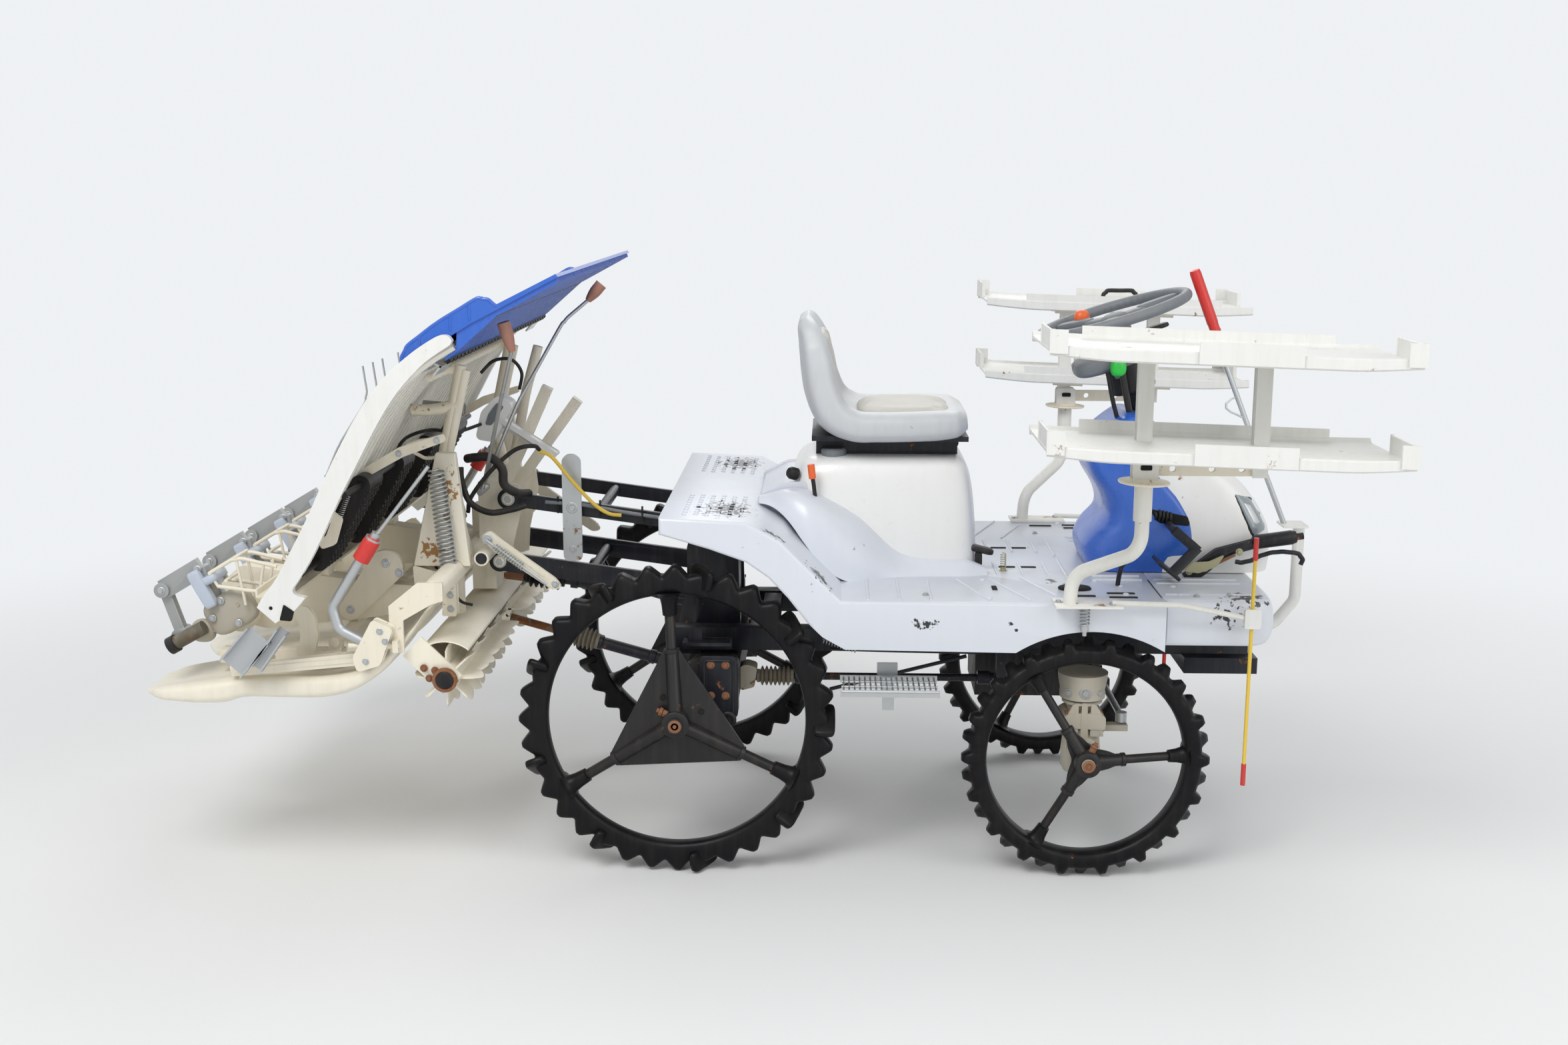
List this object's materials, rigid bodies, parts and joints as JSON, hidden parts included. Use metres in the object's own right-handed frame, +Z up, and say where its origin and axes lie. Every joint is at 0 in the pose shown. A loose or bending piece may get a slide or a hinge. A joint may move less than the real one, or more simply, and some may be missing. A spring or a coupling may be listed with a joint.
{
  "type": "rice transplanter",
  "caption": "Riding rice transplanter on narrow lugged wheels, with seat, tray racks, a lifted planting unit, floats and a slanted seedling platform.",
  "frame": {"origin": "on the ground, at the middle of the machine's length and width", "axes": "+X forwards, +Y to the machine's left, +Z up"},
  "size_m": [2.67, 1.7, 1.372],
  "materials": {
    "aluminium_bare": "bare aluminium, dull",
    "black_paint": "black enamel, worn, brown rust at bolts",
    "black_plastic": "black plastic, dull",
    "blue_plastic": "bright blue moulded plastic",
    "cream_paint": "cream enamel, weathered and dusty, rust at bolts and edges",
    "cream_plastic": "cream-white moulded plastic, dusty",
    "dark_cast": "dark painted castings with rust",
    "galvanised": "galvanised steel, dull",
    "grey_cast": "grey castings, stained sandy brown",
    "grey_plastic": "grey moulded plastic",
    "lamp_lens": "clear lamp lens",
    "rubber_boot": "black rubber boots",
    "rubber_tyre": "black rubber",
    "rusty_steel": "bare steel with brown rust",
    "seat_vinyl": "pale grey vinyl, weathered",
    "white_paint": "white enamel, worn, rust at the edges",
    "white_plastic": "white moulded plastic, faded, black specks where worn",
    "yellow_paint": "yellow enamel with red ends"
  },
  "bodies": {
    "chassis": {"assist_handle": "black_paint", "brake_pedal": "black_paint", "chassis_frame": "black_paint", "cowl": "blue_plastic", "drive_shafts": "rubber_boot", "engine": "grey_cast", "engine_cover": "white_plastic", "front_axle": "grey_cast", "front_deck": "white_plastic", "front_guard": "white_paint", "hand_levers": "black_plastic", "headlamps": "lamp_lens", "hood": "white_plastic", "marker_pole": "galvanised", "rack_posts": "white_paint", "rear_axle_case": "dark_cast", "seat_hinge": "black_paint", "side_steps": "galvanised", "sight_rods": "yellow_paint", "steering_column": "black_plastic", "step_floor": "white_plastic"},
    "steer_right": {"knuckle_right": "grey_cast"},
    "steer_left": {"knuckle_left": "grey_cast"},
    "wheel_front_right": {"tyre_front_right": "rubber_tyre", "wheel_centre_front_right": "dark_cast"},
    "wheel_front_left": {"tyre_front_left": "rubber_tyre", "wheel_centre_front_left": "dark_cast"},
    "wheel_rear_right": {"tyre_rear_right": "rubber_tyre", "wheel_centre_rear_right": "dark_cast"},
    "wheel_rear_left": {"tyre_rear_left": "rubber_tyre", "wheel_centre_rear_left": "dark_cast"},
    "track_rod": {"track_rod": "galvanised"},
    "steering_wheel": {"steering_wheel": "grey_plastic"},
    "seat": {"seat_pan": "black_paint", "seat_cushion": "seat_vinyl"},
    "rack_right": {"rack_right": "white_paint"},
    "rack_left": {"rack_left": "white_paint"},
    "lower_links": {"lower_links": "black_paint"},
    "upper_links": {"upper_links": "black_paint"},
    "cylinder_barrel": {"cylinder_barrel": "black_paint"},
    "cylinder_rod": {"cylinder_rod": "galvanised"},
    "planter_shaft": {"planter_shaft": "rubber_boot"},
    "rotor_shaft_tube": {"rotor_shaft_tube": "rubber_boot"},
    "rotor_shaft_rod": {"rotor_shaft_rod": "rusty_steel"},
    "planter": {"planter_frame": "cream_paint", "planting_cases": "grey_cast", "planting_arms": "grey_cast", "floats": "cream_plastic", "float_stays": "aluminium_bare", "guide_rail": "cream_paint", "rotor_cover": "white_paint", "side_plates": "cream_paint", "marker_brackets": "cream_paint", "grip_levers": "black_plastic"},
    "platform": {"platform": "white_plastic", "platform_extension": "blue_plastic", "feed_belts": "black_plastic"},
    "marker_right": {"marker_right": "galvanised"},
    "marker_left": {"marker_left": "galvanised"},
    "rotor_reel": {"rotor_reel": "cream_plastic"}
  },
  "joints": [
    {"name": "steer_right_turn", "type": "hinge", "parent": "chassis", "child": "steer_right", "pos_m": [0.755, -0.35, 0.28], "axis": [0, 0, 1], "range_deg": [-35, 35]},
    {"name": "steer_left_turn", "type": "hinge", "parent": "chassis", "child": "steer_left", "pos_m": [0.755, 0.35, 0.28], "axis": [0, 0, 1], "range_deg": [-35, 35]},
    {"name": "wheel_front_right_spin", "type": "hinge", "parent": "steer_right", "child": "wheel_front_right", "pos_m": [0.755, -0.42, 0.28], "axis": [0, 1, 0], "continuous": true},
    {"name": "wheel_front_left_spin", "type": "hinge", "parent": "steer_left", "child": "wheel_front_left", "pos_m": [0.755, 0.42, 0.28], "axis": [0, 1, 0], "continuous": true},
    {"name": "wheel_rear_right_spin", "type": "hinge", "parent": "chassis", "child": "wheel_rear_right", "pos_m": [-0.17, -0.42, 0.36], "axis": [0, 1, 0], "continuous": true},
    {"name": "wheel_rear_left_spin", "type": "hinge", "parent": "chassis", "child": "wheel_rear_left", "pos_m": [-0.17, 0.42, 0.36], "axis": [0, 1, 0], "continuous": true},
    {"name": "track_rod_slide", "type": "slide", "parent": "chassis", "child": "track_rod", "axis": [0, 1, 0], "range_m": [-0.062, 0.062]},
    {"name": "steering_wheel_turn", "type": "hinge", "parent": "chassis", "child": "steering_wheel", "pos_m": [0.849, 0, 1.247], "axis": [-0.2974, 0, 0.9548], "range_deg": [-320, 320]},
    {"name": "seat_tilt", "type": "hinge", "parent": "chassis", "child": "seat", "pos_m": [0.47, 0, 0.946], "axis": [0, 1, 0], "range_deg": [0, 60]},
    {"name": "rack_right_swivel", "type": "hinge", "parent": "chassis", "child": "rack_right", "pos_m": [0.825, -0.62, 0.944], "axis": [0, 0, 1], "range_deg": [-90, 0]},
    {"name": "rack_left_swivel", "type": "hinge", "parent": "chassis", "child": "rack_left", "pos_m": [0.825, 0.62, 0.944], "axis": [0, 0, 1], "range_deg": [0, 90]},
    {"name": "lift_lower_links", "type": "hinge", "parent": "chassis", "child": "lower_links", "pos_m": [-0.13, 0, 0.6], "axis": [0, 1, 0], "range_deg": [-50, 0]},
    {"name": "lift_upper_links", "type": "hinge", "parent": "chassis", "child": "upper_links", "pos_m": [-0.106, 0, 0.752], "axis": [0, 1, 0], "range_deg": [-50, 0]},
    {"name": "planter_level", "type": "hinge", "parent": "lower_links", "child": "planter", "pos_m": [-0.615, 0, 0.665], "axis": [0, 1, 0], "range_deg": [0, 50]},
    {"name": "cylinder_swing", "type": "hinge", "parent": "chassis", "child": "cylinder_barrel", "pos_m": [-0.11, 0, 0.52], "axis": [0, 1, 0], "range_deg": [-48, 0]},
    {"name": "cylinder_stroke", "type": "slide", "parent": "cylinder_barrel", "child": "cylinder_rod", "axis": [-0.9602, 0, 0.2793], "range_m": [-0.071, 0]},
    {"name": "planter_shaft_swing", "type": "hinge", "parent": "chassis", "child": "planter_shaft", "pos_m": [-0.11, -0.08, 0.562], "axis": [0, 1, 0], "range_deg": [-48.5, 0]},
    {"name": "rotor_shaft_swing", "type": "hinge", "parent": "chassis", "child": "rotor_shaft_tube", "pos_m": [-0.222, 0, 0.375], "axis": [0, 1, 0], "range_deg": [-61, 0]},
    {"name": "rotor_shaft_stroke", "type": "slide", "parent": "rotor_shaft_tube", "child": "rotor_shaft_rod", "axis": [-0.9632, 0, 0.2687], "range_m": [-0.027, 0]},
    {"name": "platform_traverse", "type": "slide", "parent": "planter", "child": "platform", "axis": [0, 1, 0], "range_m": [-0.14, 0.14]},
    {"name": "marker_right_fold", "type": "hinge", "parent": "planter", "child": "marker_right", "pos_m": [-0.81, -0.6, 0.575], "axis": [1, 0, 0], "range_deg": [0, 100]},
    {"name": "marker_left_fold", "type": "hinge", "parent": "planter", "child": "marker_left", "pos_m": [-0.81, 0.6, 0.575], "axis": [1, 0, 0], "range_deg": [-100, 0]},
    {"name": "rotor_spin", "type": "hinge", "parent": "planter", "child": "rotor_reel", "pos_m": [-0.661, 0, 0.492], "axis": [0, 1, 0], "continuous": true}
  ],
  "couplings": [
    {"joint": "steer_left_turn", "follows": "steer_right_turn", "ratio": 1},
    {"joint": "track_rod_slide", "follows": "steer_right_turn", "m_per_rad": 0.094},
    {"joint": "steering_wheel_turn", "follows": "steer_right_turn", "ratio": 9},
    {"joint": "lift_upper_links", "follows": "lift_lower_links", "ratio": 1},
    {"joint": "planter_level", "follows": "lift_lower_links", "ratio": -1},
    {"joint": "cylinder_swing", "follows": "lift_lower_links", "ratio": 0.95},
    {"joint": "cylinder_stroke", "follows": "lift_lower_links", "m_per_rad": 0.0794},
    {"joint": "planter_shaft_swing", "follows": "lift_lower_links", "ratio": 0.955},
    {"joint": "rotor_shaft_swing", "follows": "lift_lower_links", "ratio": 1.2},
    {"joint": "rotor_shaft_stroke", "follows": "lift_lower_links", "m_per_rad": 0.03}
  ]
}
